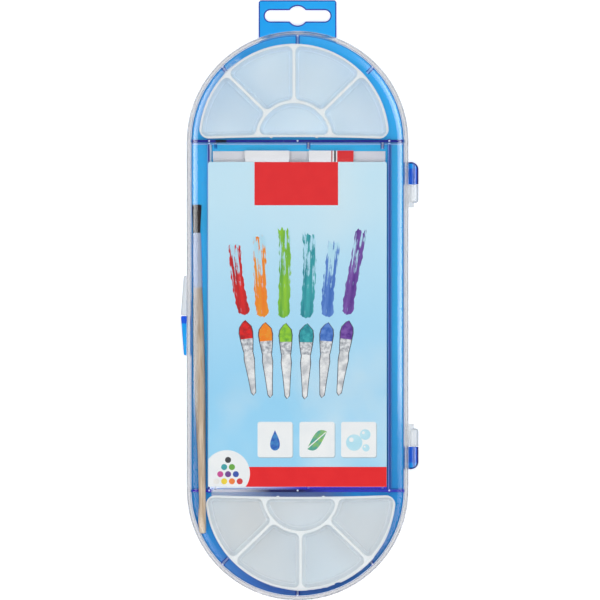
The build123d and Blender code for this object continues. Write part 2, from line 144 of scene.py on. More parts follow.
table_side = 16
table_drop = 0.4 * MM
table_glow = 0.42
bpy.ops.object.select_all(action="DESELECT")
bpy.ops.mesh.primitive_plane_add(size=table_side, location=(0, 0, -table_drop))
table = bpy.context.object
table.name = "table"
bpy.ops.object.transform_apply(location=True)
paper = bpy.data.materials.new("table_white")
paper.use_nodes = True
tree = paper.node_tree
tree.nodes.clear()
paper_grain = add_node(tree, "ShaderNodeTexNoise", {"Scale": 60.0, "Detail": 3.0})
paper_tone = step_up(tree, paper_grain.outputs["Fac"], 0.3, 0.7, 0.8, 0.83)
paper_matt = add_node(tree, "ShaderNodeBsdfDiffuse", {"Color": paper_tone})
paper_glow = add_node(
    tree, "ShaderNodeEmission",
    {"Color": (1, 1, 1, 1), "Strength": times(tree, seen_rays(tree), table_glow)},
)
paper_both = add_node(
    tree, "ShaderNodeAddShader", {0: paper_matt.outputs[0], 1: paper_glow.outputs[0]}
)
add_node(tree, "ShaderNodeOutputMaterial", {"Surface": paper_both.outputs[0]})
table.data.materials.append(paper)

for name, place, size, power in (
    ("overhead_panel", (0.0, 0.0, 2.3), 0.7, 32.0),
    ("softbox_left", (-1.1, 0.15, 1.3), 0.8, 3.6),
    ("softbox_right", (1.1, 0.15, 1.3), 0.8, 3.2),
):
    lamp = bpy.data.lights.new(name, "AREA")
    lamp.shape = "SQUARE"
    lamp.size = size
    lamp.energy = power
    box = bpy.data.objects.new(name, lamp)
    box.location = place
    box.rotation_mode = "QUATERNION"
    box.rotation_quaternion = Vector(place).to_track_quat("Z", "Y")
    box.visible_camera = False
    box.visible_glossy = False
    box.visible_transmission = False
    bpy.context.collection.objects.link(box)

# Blue tray: one moulding of clear-tinted blue plastic, with the hang tab and the outer hinge
# knuckles. Light and shade are painted into its colour: in the rims of its walls, in the knuckles
# and along cut edges a painted shade deepens the tint to violet blue, where light has far to go
# through it.
straight_half = 91.5 * MM       # from the middle to where each round end begins
cross_wall_y = 92.1 * MM
channel_wall_left = -46.6 * MM
channel_wall_right = 48.3 * MM


def start_material(name, roughness):
    """A material with its tree and its one shader."""
    material = bpy.data.materials.new(name)
    material.use_nodes = True
    shader = material.node_tree.nodes["Principled BSDF"]
    shader.inputs["Roughness"].default_value = roughness
    return material, material.node_tree, shader


def object_point(tree):
    """The Object coordinate and its three parts, in metres."""
    point = add_node(tree, "ShaderNodeTexCoord").outputs["Object"]
    parts = add_node(tree, "ShaderNodeSeparateXYZ", {0: point})
    return point, parts.outputs["X"], parts.outputs["Y"], parts.outputs["Z"]


def ramp(tree, value, first, last):
    """0 at first, 1 at last and an even slope between, both given in millimetres."""
    return step_up(tree, value, first * MM, last * MM)


def between(tree, value, start, full, fading, end):
    """0 up to start, 1 from full to fading and 0 again from end, in millimetres."""
    return times(tree, ramp(tree, value, start, full), ramp(tree, value, end, fading))


def distance(tree, value, middle):
    """How far a value is from the middle, on either side."""
    return add_maths(tree, "ABSOLUTE", add_maths(tree, "SUBTRACT", value, middle))


def excess(tree, value, limit):
    """By how much a value is over the limit, and 0 below it."""
    return add_maths(tree, "MAXIMUM", add_maths(tree, "SUBTRACT", value, limit), 0.0)


def length(tree, across, along):
    """The length of the slope over two sides at right angles."""
    squares = add_maths(tree, "MULTIPLY_ADD", across, across, times(tree, along, along))
    return add_maths(tree, "SQRT", squares)


def spine_distance(tree, x, y):
    """How far a point is from the line between the middles of the case's round ends."""
    return length(tree, x, excess(tree, add_maths(tree, "ABSOLUTE", y), straight_half))


def blend_colours(tree, share, first, second):
    """First where share is 0, second where it is 1; each a colour or a socket."""
    made = add_node(tree, "ShaderNodeMix", {"Factor": share}, data_type="RGBA")
    for index, value in ((6, first), (7, second)):
        if isinstance(value, bpy.types.NodeSocket):
            tree.links.new(value, made.inputs[index])
        else:
            made.inputs[index].default_value = (*value, 1)
    return made.outputs[2]


def lay_over(tree, colour, *layers):
    """A colour with others laid over it in turn, each given with its share."""
    for share, other in layers:
        colour = blend_colours(tree, share, colour, other)
    return colour


def add_bump(tree, shader, height, strength, distance):
    """Gives a shader a bump of that height."""
    settings = {"Height": height, "Strength": strength, "Distance": distance}
    bump = add_node(tree, "ShaderNodeBump", settings)
    tree.links.new(bump.outputs[0], shader.inputs["Normal"])


def add_noise(tree, point, scale, detail, stretch=None):
    """Noise on a point, stretched along an axis where it is given."""
    if stretch:
        point = add_node(
            tree, "ShaderNodeMapping", {"Vector": point, "Scale": stretch}
        ).outputs[0]
    settings = {"Vector": point, "Scale": scale, "Detail": detail}
    return add_node(tree, "ShaderNodeTexNoise", settings).outputs["Fac"]


tray_blue, tree, shader = start_material("tray_blue", 0.12)
shader.inputs["IOR"].default_value = 1.5
shader.inputs["Subsurface Weight"].default_value = 0.3
shader.inputs["Subsurface Radius"].default_value = (0.35, 0.8, 1.0)
shader.inputs["Subsurface Scale"].default_value = 9 * MM
point, x, y, z = object_point(tree)
side_x = add_maths(tree, "ABSOLUTE", x)
side_y = add_maths(tree, "ABSOLUTE", y)
end_y = add_maths(tree, "SUBTRACT", side_y, straight_half)
from_spine = spine_distance(tree, x, y)
rim = ramp(tree, z, 13.3, 13.9)
below_rim = ramp(tree, z, 12.6, 12.2)
low = ramp(tree, z, 3.0, 1.7)

# Painted light and shade: the floor is painted lighter than the walls, with a painted highlight
# beside them, and a painted shade darkens the lower half and the foot's round end
cloud = step_up(tree, add_noise(tree, point, 18.0, 2.0), 0.35, 0.65)
foot_shade = ramp(tree, y, -12.0, -85.0)
wall_highlight = times(
    tree, ramp(tree, from_spine, 52.6, 53.4), low,
    ramp(tree, y, -62.0, -38.0), ramp(tree, y, 146.0, 120.0),
)
foot_arc_shade = times(tree, ramp(tree, y, -112.0, -149.0), 0.75)
blue = lay_over(
    tree, (0.014, 0.35, 0.88),
    (cloud, (0.024, 0.4, 0.95)),
    (low, (0.038, 0.485, 0.87)),
    (foot_shade, (0.03, 0.34, 0.78)),
    (wall_highlight, (0.1, 0.52, 0.92)),
    (foot_arc_shade, (0.12, 0.16, 0.6)),
)

# Painted shade on the catch, along cut edges and on the knuckles, which also get a lighter end,
# a painted dark heart and a painted dark outline
catch = times(tree, ramp(tree, x, -58.4, -58.8), ramp(tree, y, -4.3, -4.0))
round_edge = add_node(tree, "ShaderNodeBevel", {"Radius": 0.7 * MM}, samples=8)
true_face = add_node(tree, "ShaderNodeNewGeometry")
turned = add_node(
    tree, "ShaderNodeVectorMath", {0: round_edge.outputs[0], 1: true_face.outputs["Normal"]},
    operation="DOT_PRODUCT",
)
edge_shade = step_up(tree, turned.outputs["Value"], 0.985, 0.88)
knuckle = ramp(tree, x, 58.4, 59.2)
knuckle_heart_x = 61.4 * MM
knuckle_corner_x, knuckle_corner_y = 59.75 * MM, 76.95 * MM
from_corner = length(
    tree, excess(tree, x, knuckle_corner_x), excess(tree, side_y, knuckle_corner_y)
)
knuckle_line = ramp(tree, from_corner, 3.1, 3.3)
knuckle_shade_tone = lay_over(
    tree, (0.02, 0.12, 0.72),
    (ramp(tree, side_y, 77.2, 77.9), (0.012, 0.3, 0.86)),
    (ramp(tree, distance(tree, x, knuckle_heart_x), 0.45, 0.25), (0.006, 0.04, 0.36)),
    (knuckle_line, (0.01, 0.004, 0.16)),
)
dull = times(tree, knuckle_line, knuckle)
gloss = add_maths(tree, "MULTIPLY_ADD", dull, -0.45, 0.5)
tree.links.new(gloss, shader.inputs["Specular IOR Level"])

# Painted shade on the rims of the walls, and painted reflections in the gap beside the palette
# at the foot, in the one under the card and on the rim of the foot's cross wall
outer_rim_shade = blend_colours(
    tree, ramp(tree, y, 96.0, 132.0), (0.01, 0.11, 0.38), (0.012, 0.2, 0.6)
)
rim_shade_tone = blend_colours(tree, ramp(tree, from_spine, 54.7, 54.9), (0.04, 0.02, 0.48), outer_rim_shade)
foot_half = add_maths(tree, "LESS_THAN", y, 0.0)
foot_gap = times(
    tree, between(tree, end_y, 1.4, 1.6, 6.0, 7.0), foot_half, below_rim,
    ramp(tree, x, -46.0, -45.0), ramp(tree, x, 30.0, 14.0),
)
gap_reflection = blend_colours(tree, ramp(tree, x, -40.0, -12.0), (0.7, 0.75, 0.86), (0.16, 0.18, 0.4))
card_gap = times(
    tree, between(tree, end_y, -2.0, -1.6, -0.1, 0.0), foot_half, below_rim,
    ramp(tree, from_spine, 47.5, 46.5),
)
under_card_reflection = blend_colours(tree, ramp(tree, x, -26.0, 2.0), (0.8, 0.82, 0.9), (0.08, 0.03, 0.62))
foot_rim = times(
    tree, rim, foot_half, between(tree, end_y, -0.1, 0.05, 1.8, 2.0),
    ramp(tree, x, -46.0, -44.5),
)
foot_rim_reflection = lay_over(
    tree, (0.62, 0.66, 0.78),
    (ramp(tree, x, -34.0, -14.0), (0.02, 0.02, 0.1)),
    (ramp(tree, x, 2.0, 16.0), (0.04, 0.05, 0.52)),
)
blue = lay_over(
    tree, blue,
    (catch, (0.012, 0.1, 0.76)),
    (edge_shade, (0.03, 0.05, 0.5)),
    (knuckle, knuckle_shade_tone),
    (rim, rim_shade_tone),
    (foot_gap, gap_reflection),
    (card_gap, under_card_reflection),
    (foot_rim, foot_rim_reflection),
)

# Painted highlights and painted shade: pale and dark lines run along the channel walls, and
# along the cross wall at the head
line_blur = 0.1
channel_highlight_and_shade_lines = (
    (-47.9, -47.15, (0.3, 0.6, 0.98)),
    (-47.15, -46.25, (0.03, 0.015, 0.24)),
    (-46.25, -45.45, (0.8, 0.92, 1.0)),
    (-45.55, -45.1, (0.05, 0.13, 0.3)),
    (47.65, 48.25, (0.13, 0.27, 0.74)),
    (48.25, 49.25, (0.035, 0.07, 0.34)),
    (49.25, 49.9, (0.1, 0.3, 0.74)),
)
head_wall_highlight_and_shade_lines = (
    (90.3, 91.1, (0.4, 0.64, 0.98)),
    (91.1, 92.9, (0.012, 0.02, 0.27)),
)
between_walls = ramp(tree, end_y, -0.1, -0.3)
inside_rim = ramp(tree, side_x, 55.0, 54.6)
for way, lines, there in (
    (x, channel_highlight_and_shade_lines, between_walls),
    (y, head_wall_highlight_and_shade_lines, inside_rim),
):
    for low_side, high_side, tone in lines:
        line = times(
            tree, there,
            between(
                tree, way, low_side - line_blur, low_side + line_blur,
                high_side - line_blur, high_side + line_blur,
            ),
        )
        blue = blend_colours(tree, line, blue, tone)

# The last of these, the painted dark line of the head's cross wall, is painted black for a
# short way
black_shade_part = times(tree, line, between(tree, x, -43.4, -43.0, -37.8, -37.2))
blue = blend_colours(tree, black_shade_part, blue, (0.003, 0.006, 0.03))

# The hang tab and its slot get a painted dark outline, a painted shade along their edges
slot_middle_y = 158.2 * MM
slot_half = 14.3 * MM
slot_radius = 3.0 * MM
hole_radius = 5.15 * MM
slot_y = add_maths(tree, "SUBTRACT", y, slot_middle_y)
slot_middle = length(tree, excess(tree, side_x, slot_half), slot_y)
from_opening = add_maths(
    tree, "MINIMUM",
    add_maths(tree, "SUBTRACT", slot_middle, slot_radius),
    add_maths(tree, "SUBTRACT", length(tree, x, slot_y), hole_radius),
)
tab_outline_shade = combine(
    tree, "MAXIMUM",
    ramp(tree, from_opening, 0.75, 0.5),
    ramp(tree, side_x, 19.8, 20.0),
    ramp(tree, y, 165.7, 165.9),
)
on_tab = times(tree, ramp(tree, y, 140.0, 141.0), ramp(tree, from_spine, 58.0, 58.5))
blue = blend_colours(tree, times(tree, tab_outline_shade, on_tab), blue, (0.025, 0.015, 0.32))

# Ribs and stubs get a painted highlight line between two painted shade lines, and each post
# a painted glint
post_middles = (channel_wall_left, 0.0, channel_wall_right)
stub_middles = (5.7 * MM, 44.9 * MM)
square_to_slant = 0.7071
diagonal = times(tree, distance(tree, side_x, end_y), square_to_slant)
from_rib = add_maths(tree, "MINIMUM", side_x, diagonal)
at_rib = times(
    tree, between(tree, from_spine, 51.9, 52.2, 57.3, 57.6), ramp(tree, end_y, 20.0, 21.0)
)
from_stub = combine(tree, "MINIMUM", *(distance(tree, x, middle) for middle in stub_middles))
at_stub = between(tree, end_y, -3.5, -3.2, -0.3, -0.2)
off_wall = add_maths(tree, "SUBTRACT", side_y, cross_wall_y)
from_post = combine(
    tree, "MINIMUM", *(length(tree, distance(tree, x, middle), off_wall) for middle in post_middles)
)
for away, there in ((from_rib, at_rib), (from_stub, at_stub)):
    blue = lay_over(
        tree, blue,
        (times(tree, ramp(tree, away, 1.2, 0.9), there), (0.02, 0.03, 0.4)),
        (times(tree, ramp(tree, away, 0.6, 0.4), there), (0.7, 0.78, 0.98)),
    )
post_glint = times(tree, ramp(tree, from_post, 0.6, 0.35), rim)
blue = blend_colours(tree, post_glint, blue, (0.7, 0.8, 1.0))
tree.links.new(blue, shader.inputs["Base Color"])

# The floor gets a painted glow, standing in for light from the table that comes up through it,
# and the gap under the card a brighter painted glow
lit_floor = times(
    tree, low, add_maths(tree, "SUBTRACT", 1.0, foot_arc_shade),
    add_maths(tree, "MULTIPLY_ADD", foot_shade, -0.45, 1.0),
)
gap_glow = blend_colours(tree, ramp(tree, x, -30.0, 2.0), (3.2, 3.3, 3.6), (0.3, 0.1, 2.2))
painted_glow = lay_over(
    tree, (0.0, 0.0, 0.0), (lit_floor, (0.03, 0.44, 0.88)), (card_gap, gap_glow)
)
tree.links.new(painted_glow, shader.inputs["Emission Color"])
shader.inputs["Emission Strength"].default_value = 0.14
add_bump(tree, shader, add_noise(tree, point, 260.0, 3.0), 0.06, 0.3 * MM)
nodes["base_tray"].material_slots[0].material = tray_blue

# Lid: one clear moulding, polished outside, that swings on pins moulded onto its knuckles.
# Light goes through it to what lies below. Its skirt is painted grey as a painted shade, and the
# end of the skirt is painted grey and made less clear; the parts beyond the skirt, the finger tab
# and the knuckles, are painted grey with a darker painted outline, and let through a grey-tinted
# share.
lid_clear, tree, shader = start_material("lid_clear", 0.02)
shader.inputs["IOR"].default_value = 1.53
point, x, y, z = object_point(tree)
from_spine = spine_distance(tree, x, y)
side_y = add_maths(tree, "ABSOLUTE", y)
skirt = between(tree, from_spine, 55.6, 56.8, 58.7, 59.4)
skirt_end = ramp(tree, z, 10.9, 10.6)
beyond_skirt = ramp(tree, add_maths(tree, "ABSOLUTE", x), 58.7, 59.0)
knuckle_outline = add_maths(
    tree, "MAXIMUM",
    ramp(tree, x, 62.9, 63.3),
    times(tree, between(tree, side_y, 59.2, 59.5, 60.1, 60.5), ramp(tree, x, 60.0, 61.6)),
)
tab_lean, tab_end_x = 0.077, -61.6 * MM
tab_end = add_maths(tree, "MULTIPLY_ADD", y, tab_lean, tab_end_x)
tab_outline_shade = times(
    tree,
    add_maths(
        tree, "MAXIMUM",
        ramp(tree, add_maths(tree, "SUBTRACT", x, tab_end), 0.6, 0.35),
        ramp(tree, y, 20.3, 20.5),
    ),
    add_maths(tree, "LESS_THAN", x, 0.0),
)
outline = add_maths(tree, "MAXIMUM", tab_outline_shade, knuckle_outline)
# Painted shade: the parts beyond the skirt are grey, darker along their outlines
side_parts_shade = blend_colours(tree, outline, (0.68, 0.68, 0.67), (0.2, 0.2, 0.21))
glass_with_painted_grey = lay_over(
    tree, (0.997, 0.998, 1.0),
    (skirt, (0.57, 0.57, 0.59)),
    (beyond_skirt, side_parts_shade),
    (skirt_end, (0.8, 0.81, 0.82)),
)
tree.links.new(glass_with_painted_grey, shader.inputs["Base Color"])
clearness = add_maths(tree, "MULTIPLY_ADD", skirt_end, -0.65, 1.0)
tree.links.new(clearness, shader.inputs["Transmission Weight"])
# Painted shade on the reflections: the lid reflects less towards the foot
shine = blend_colours(tree, ramp(tree, y, -64.0, -40.0), (0.3, 0.3, 0.3), (1.0, 1.0, 1.0))
tree.links.new(shine, shader.inputs["Specular Tint"])

# The shoulder's inner face bends the light outward, so the brush below it looks moved
bend_start = 52.5 * MM
bend_middle_z = 16.0 * MM
inner_radius = 5.2 * MM
rise_width = 2.4 * MM
rise_curve = 75.0
fall_width = 0.8 * MM
fall_slope = 0.36
fall_curve = -225.0
past_flat = excess(tree, from_spine, bend_start)
from_bend = length(tree, past_flat, add_maths(tree, "SUBTRACT", z, bend_middle_z))
inner_face = add_maths(tree, "LESS_THAN", from_bend, inner_radius)
rising = add_maths(tree, "MINIMUM", past_flat, rise_width)
falling = add_maths(tree, "MINIMUM", excess(tree, past_flat, rise_width), fall_width)
bend = times(tree, rising, rising, rise_curve)
bend = add_maths(tree, "MULTIPLY_ADD", falling, fall_slope, bend)
bend = add_maths(tree, "MULTIPLY_ADD", times(tree, falling, falling), fall_curve, bend)
add_bump(tree, shader, times(tree, bend, inner_face), 1.0, 1.0)

# Shadow rays and diffuse rays pass straight through, and so does a share beyond the skirt,
# tinted grey as a painted shade
side_share = 0.42
path = add_node(tree, "ShaderNodeLightPath")
lets_light = add_maths(
    tree, "MAXIMUM", path.outputs["Is Shadow Ray"], path.outputs["Is Diffuse Ray"]
)
open_way = add_node(tree, "ShaderNodeBsdfTransparent", {"Color": (0.995, 0.997, 1.0, 1)})
thin_way = add_node(tree, "ShaderNodeBsdfTransparent", {"Color": (0.85, 0.865, 0.865, 1)})
surface = shader.outputs[0]
side_way = times(tree, beyond_skirt, side_share)
for share, way in ((lets_light, open_way), (side_way, thin_way)):
    surface = add_node(
        tree, "ShaderNodeMixShader", {0: share, 1: surface, 2: way.outputs[0]}
    ).outputs[0]
tree.links.new(surface, tree.nodes["Material Output"].inputs["Surface"])
nodes["lid"].material_slots[0].material = lid_clear

# Palettes: two loose half-round trays of opal plastic, each with five wells. The plastic is
# milky. The floors of the wells are painted darker and bluer than the rims, a painted shade, and
# the steep walls get painted light: a lighter colour and a painted glow.
opal, tree, shader = start_material("palette_opal", 0.3)
shader.inputs["Subsurface Weight"].default_value = 0.4
shader.inputs["Subsurface Radius"].default_value = (0.8, 0.9, 1.0)
shader.inputs["Subsurface Scale"].default_value = 4 * MM
shader.inputs["Coat Weight"].default_value = 0.25
shader.inputs["Coat Roughness"].default_value = 0.2
shader.inputs["Emission Strength"].default_value = 0.12
point, x, y, z = object_point(tree)
mottle = step_up(tree, add_noise(tree, point, 40.0, 3.0), 0.45, 0.8)
broad = add_noise(tree, point, 14.0, 1.0)
lower_one = times(tree, add_maths(tree, "LESS_THAN", y, 0.0), 0.7)
lower_milk = blend_colours(
    tree, step_up(tree, broad, 0.3, 0.62), (0.655, 0.64, 0.6), (0.61, 0.68, 0.73)
)
# Painted light on the steep walls of the wells: a lighter colour and a painted glow
geometry = add_node(tree, "ShaderNodeNewGeometry")
facing = add_node(tree, "ShaderNodeSeparateXYZ", {0: geometry.outputs["True Normal"]})
wall = step_up(tree, facing.outputs["Z"], 0.95, 0.6)
wall_painted_light = blend_colours(tree, lower_one, (0.74, 0.84, 0.92), (0.78, 0.78, 0.76))
rim = ramp(tree, z, 12.0, 12.9)
milk_with_painted_shade_and_light = lay_over(
    tree, (0.54, 0.66, 0.76),
    (step_up(tree, broad, 0.35, 0.65), (0.66, 0.77, 0.82)),
    (times(tree, mottle, 0.2), (0.9, 0.92, 0.94)),
    (lower_one, lower_milk),
    (wall, wall_painted_light),
    (rim, (0.88, 0.94, 0.96)),
)
tree.links.new(milk_with_painted_shade_and_light, shader.inputs["Base Color"])
painted_glow = lay_over(tree, (0.0, 0.0, 0.0), (wall, (0.6, 0.74, 0.86)), (rim, (0.0, 0.0, 0.0)))
tree.links.new(painted_glow, shader.inputs["Emission Color"])
add_bump(tree, shader, add_noise(tree, point, 500.0, 3.0), 0.05, 0.2 * MM)
for name in ("palette_upper", "palette_lower"):
    nodes[name].material_slots[0].material = opal

# Paint tubes: ten collapsible aluminium tubes in white lacquer, with a band in the paint's
# colour below the bare shoulder and a plain red block and two fine lines towards the crimp.
tube_axis_z = 9.2 * MM
tube_shoulder_y = 17.6 * MM
tube_tail_y = 82.9 * MM
tube_pitch = 16.9 * MM
row_middle_x = 0.8 * MM
shoulder_half, tail_spread = 7.5 * MM, 4.28 * MM
high_tail, low_tail = 5.6 * MM, -6.2 * MM
printed_up = (4, 7)
red_line, red_line_half = 0.03, 0.025       # shares of the tube's half width, from its middle
black_line, black_line_half = 0.17, 0.04
block_edge, block_full = 0.26, 0.28
paints = (
    (0.9, 0.9, 0.86), (0.9, 0.68, 0.02), (0.9, 0.2, 0.01), (0.68, 0.02, 0.03),
    (0.62, 0.05, 0.3), (0.16, 0.04, 0.3), (0.01, 0.07, 0.42), (0.02, 0.35, 0.38),
    (0.12, 0.4, 0.03), (0.02, 0.02, 0.025),
)
for number, paint in enumerate(paints, 1):
    place = (number - 1) % 5
    tube_x = row_middle_x + (place - 2) * tube_pitch
    lacquer, tree, shader = start_material(f"tube_lacquer_{number:02d}", 0.3)
    point, x, y, z = object_point(tree)
    along = add_maths(tree, "ABSOLUTE", y)
    tail_share = step_up(tree, along, tube_shoulder_y, tube_tail_y)
    half_width = add_maths(tree, "MULTIPLY_ADD", tail_share, tail_spread, shoulder_half)
    across = add_maths(tree, "DIVIDE", add_maths(tree, "SUBTRACT", x, tube_x), half_width)
    tail_lift = high_tail if place % 2 else low_tail
    middle_z = add_maths(tree, "MULTIPLY_ADD", tail_share, tail_lift, tube_axis_z)
    printed_side = "GREATER_THAN" if number in printed_up else "LESS_THAN"
    printed = add_maths(tree, printed_side, z, middle_z)
    lines_there = times(tree, printed, ramp(tree, along, 36.0, 36.1))
    on_red_line = add_maths(tree, "COMPARE", across, red_line, red_line_half)
    on_black_line = add_maths(tree, "COMPARE", across, black_line, black_line_half)
    on_block = step_up(tree, across, block_edge, block_full)
    bare = ramp(tree, along, 18.2, 18.0)
    label = lay_over(
        tree, (0.82, 0.83, 0.86),
        (add_noise(tree, point, 90.0, 2.0), (0.9, 0.9, 0.92)),
        (times(tree, on_red_line, lines_there), (0.42, 0.02, 0.03)),
        (times(tree, on_black_line, lines_there), (0.02, 0.02, 0.025)),
        (times(tree, on_block, ramp(tree, along, 58.0, 58.1), printed), (0.75, 0.03, 0.035)),
        (between(tree, along, 19.4, 19.6, 31.0, 31.2), paint),
        (bare, (0.72, 0.73, 0.75)),
    )
    tree.links.new(label, shader.inputs["Base Color"])
    tree.links.new(bare, shader.inputs["Metallic"])
    dents = add_noise(tree, point, 70.0, 2.0, (1.0, 0.35, 1.0))
    folds = add_node(
        tree, "ShaderNodeTexWave", {"Vector": point, "Scale": 420.0, "Distortion": 0.6},
        bands_direction="Y",
    ).outputs["Fac"]
    folds = times(tree, folds, ramp(tree, along, 82.8, 83.0))
    add_bump(tree, shader, add_maths(tree, "ADD", dents, folds), 0.35, 0.4 * MM)
    nodes[f"tube_{number:02d}"].material_slots[0].material = lacquer

# Caps: ribbed screw caps of white plastic, moulded in one piece, one screwed onto the neck
# of each tube.
cap_white, tree, shader = start_material("cap_white", 0.38)
point = object_point(tree)[0]
tone = blend_colours(
    tree, add_noise(tree, point, 120.0, 3.0), (0.8, 0.81, 0.82), (0.9, 0.9, 0.9)
)
tree.links.new(tone, shader.inputs["Base Color"])
add_bump(tree, shader, add_noise(tree, point, 900.0, 2.0), 0.08, 0.1 * MM)
for number in range(1, 11):
    nodes[f"cap_{number:02d}"].material_slots[0].material = cap_white

# Insert card: a loose printed card that lies over the tubes. It is printed with a sky that
# is pale at the head and deeper blue lower down, and painted a little greyer at the foot as a
# painted shade.
card_top_z = 17.2 * MM
sky, tree, shader = start_material("card_sky", 0.55)
shader.inputs["Specular IOR Level"].default_value = 0.3
point, x, y, z = object_point(tree)
puffs = step_up(tree, add_noise(tree, point, 22.0, 4.0, (1.0, 0.8, 1.0)), 0.45, 0.72)
clouds = step_up(tree, add_noise(tree, point, 9.0, 2.0), 0.42, 0.62)
blue = lay_over(
    tree, (0.56, 0.81, 0.94),
    (ramp(tree, y, 60, -40), (0.32, 0.68, 0.94)),
    # Painted shade: a little greyer towards the foot
    (times(tree, ramp(tree, y, -30, -92), 0.45), (0.33, 0.61, 0.78)),
    (times(tree, puffs, clouds, 0.6), (0.72, 0.84, 0.88)),
)
tree.links.new(blue, shader.inputs["Base Color"])
add_bump(tree, shader, add_noise(tree, point, 1400.0, 2.0), 0.05, 0.05 * MM)
nodes["insert_card"].material_slots[0].material = sky

# Brush: a turned birch handle under clear varnish, held in a drawn aluminium ferrule. It lies
# loose in the channel at the left.
birch, tree, shader = start_material("handle_birch", 0.32)
shader.inputs["Coat Weight"].default_value = 0.4
point = object_point(tree)[0]
grain = add_noise(tree, point, 60.0, 4.0, (14.0, 0.5, 14.0))
fleck = step_up(tree, add_noise(tree, point, 900.0, 2.0, (1.0, 0.08, 1.0)), 0.62, 0.75)
wood = lay_over(
    tree, (0.5, 0.37, 0.25),
    (step_up(tree, grain, 0.35, 0.65), (0.72, 0.59, 0.45)),
    (times(tree, fleck, 0.5), (0.36, 0.22, 0.12)),
)
tree.links.new(wood, shader.inputs["Base Color"])
add_bump(tree, shader, grain, 0.1, 0.1 * MM)
nodes["brush_handle"].material_slots[0].material = birch

drawn, tree, shader = start_material("ferrule_aluminium", 0.2)
shader.inputs["Metallic"].default_value = 0.45
point = object_point(tree)[0]
draw_lines = add_noise(tree, point, 500.0, 2.0, (4.0, 0.05, 4.0))
metal = blend_colours(tree, draw_lines, (0.8, 0.81, 0.84), (0.95, 0.95, 0.97))
tree.links.new(metal, shader.inputs["Base Color"])
add_bump(tree, shader, draw_lines, 0.1, 0.05 * MM)
nodes["brush_ferrule"].material_slots[0].material = drawn

# Bristles: a tuft of stiff dark hair, glued into the ferrule's mouth and cut straight across,
# that has spread with use. Each hair is a thin strand that narrows to its tip.
brush_tip = Vector((-52.7, 58.8, 4.0)) * MM
brush_end = Vector((-49.9, -114.5, 16.25)) * MM
hair_way = (brush_tip - brush_end).normalized()
hair_side = Vector((1, 0, 0))
hair_side = (hair_side - hair_way * hair_side.dot(hair_way)).normalized()
hair_lift = hair_way.cross(hair_side)
hair_count = 760
hair_length = 15.2 * MM
hair_radius = 0.036 * MM
hair_stray = 0.07 * MM
glued_length = 0.6 * MM
shorter_outside = 0.4 * MM
mouth = brush_tip - hair_way * hair_length
mouth_radius = 0.97 * MM
flare = 2.1
flare_curve = 1.15
tip_taper = 0.55
golden_turn = 137.508       # degrees, which spreads the hairs evenly over the mouth
random.seed(4)
hair_curve = bpy.data.curves.new("brush_hair", "CURVE")
hair_curve.dimensions = "3D"
hair_curve.bevel_depth = hair_radius
hair_curve.bevel_resolution = 0
hair_curve.use_fill_caps = True
for index in range(hair_count):
    reach = ((index + 0.5) / hair_count) ** 0.5
    angle = radians(index * golden_turn)
    reach_x, reach_y = reach * cos(angle), reach * sin(angle)
    strand_length = hair_length * random.uniform(0.945, 1.0) - shorter_outside * reach**2
    spread = flare * random.uniform(0.9, 1.03)
    stray_x, stray_y = random.gauss(0, hair_stray), random.gauss(0, hair_stray)
    strand = hair_curve.splines.new("POLY")
    strand.points.add(4)
    for point, share in zip(strand.points, (0.0, 0.28, 0.55, 0.8, 1.0)):
        wide = mouth_radius * (1 + (spread - 1) * share**flare_curve)
        place = mouth + hair_way * (share * strand_length - (glued_length if share == 0 else 0))
        place += hair_side * (reach_x * wide + stray_x * share**2)
        place += hair_lift * (reach_y * wide + stray_y * share**2)
        point.co = (*place, 1)
        point.radius = 1.0 - tip_taper * share**2
brush_hair = bpy.data.objects.new("brush_hair", hair_curve)
bpy.context.collection.objects.link(brush_hair)
bpy.ops.object.select_all(action="DESELECT")
bpy.context.view_layer.objects.active = brush_hair
brush_hair.select_set(True)
bpy.ops.object.convert(target="MESH")
brush_hair = bpy.context.object
bpy.ops.object.shade_smooth()
hair_dark, tree, shader = start_material("hair_dark", 0.36)
streaks = add_noise(tree, object_point(tree)[0], 700.0, 2.0, (4.0, 0.12, 4.0))
hair_tone = blend_colours(
    tree, step_up(tree, streaks, 0.3, 0.7), (0.012, 0.008, 0.007), (0.085, 0.05, 0.04)
)
tree.links.new(hair_tone, shader.inputs["Base Color"])
brush_hair.data.materials.clear()
brush_hair.data.materials.append(hair_dark)
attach(brush_hair, "case")
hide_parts("brush_bristles")

# Print on the card: flat areas of ink, each a film a few hundredths of a millimetre thick, one
# over the other. A bare red panel stands at the head and a bare red banner at the foot.
film = 0.02 * MM
film_step = 0.03 * MM
card_left, card_right, card_foot = -47.0, 46.85, -90.1


def ink_colour(name, colour, other=None, roughness=0.55, grain=160.0):
    """Printed ink: one colour, a little uneven, or one that wanders to another."""
    material, tree, shader = start_material(name, roughness)
    point = object_point(tree)[0]
    shader.inputs["Specular IOR Level"].default_value = 0.3
    other = other or tuple(0.88 * part for part in colour)
    mottle = step_up(tree, add_noise(tree, point, grain, 3.0), 0.38, 0.66)
    tree.links.new(blend_colours(tree, mottle, colour, other), shader.inputs["Base Color"])
    add_bump(tree, shader, add_noise(tree, point, 1500.0, 2.0), 0.04, 0.03 * MM)
    return material


def make_film(piece, material):
    """Gives a flat area its thickness and its ink, and lays it on the card."""
    thicken = piece.modifiers.new("thickness", "SOLIDIFY")
    thicken.thickness = film
    thicken.offset = 1
    bpy.ops.object.modifier_apply(modifier=thicken.name)
    piece.data.materials.append(material)
    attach(piece, "case")


